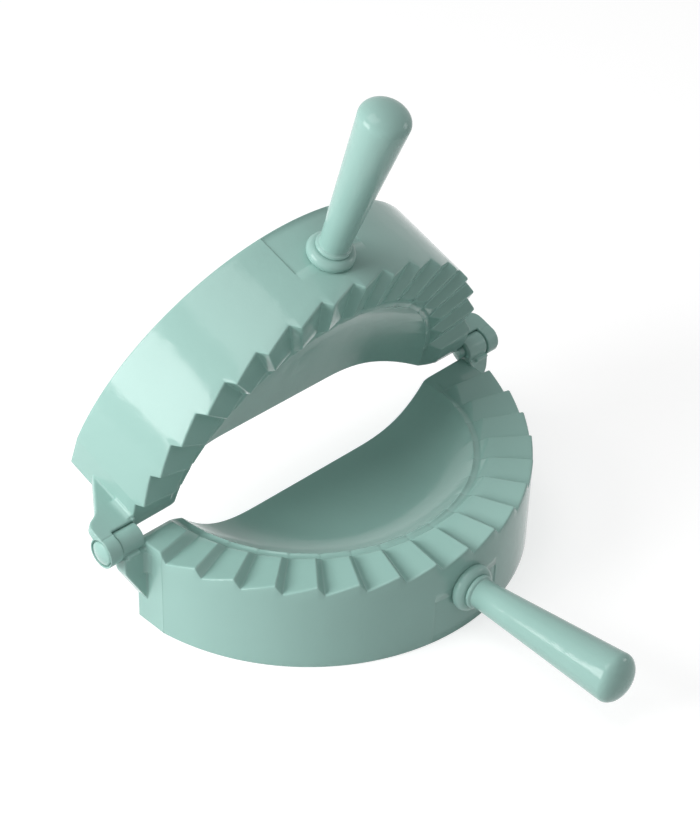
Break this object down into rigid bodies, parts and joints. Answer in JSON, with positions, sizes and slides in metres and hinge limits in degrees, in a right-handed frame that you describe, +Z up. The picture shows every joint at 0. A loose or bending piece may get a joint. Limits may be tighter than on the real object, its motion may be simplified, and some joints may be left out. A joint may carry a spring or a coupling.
{
  "type": "empanada press",
  "caption": "Hinged hand press for sealing filled half-moon pastries: two D-shaped bowls with a stepped crimping rim, a round handle on each, shown standing open.",
  "frame": {"origin": "centre of the press's box on the surface it stands on", "axes": "+X along the hinge axis, -Y towards the lower handle, +Z up"},
  "size_m": [0.1892, 0.1828, 0.1827],
  "materials": {
    "mint_plastic": "hard glossy moulded plastic in pale mint green",
    "handle_plastic": "hard glossy moulded plastic in pale mint green",
    "pin_plastic": "hard glossy moulded plastic in pale mint green",
    "screw_steel": "plain bright steel"
  },
  "bodies": {
    "lower_half": {"lower_shell": "mint_plastic", "lower_handle": "handle_plastic", "lower_handle_screw": "screw_steel", "left_hinge_pin": "pin_plastic", "right_hinge_pin": "pin_plastic"},
    "upper_half": {"upper_shell": "mint_plastic", "upper_handle": "handle_plastic", "upper_handle_screw": "screw_steel"}
  },
  "joints": [
    {"name": "hinge", "type": "hinge", "parent": "lower_half", "child": "upper_half", "pos_m": [0, 0.05784, 0.0355], "axis": [1, 0, 0], "range_deg": [-108.5, 73.8]}
  ]
}
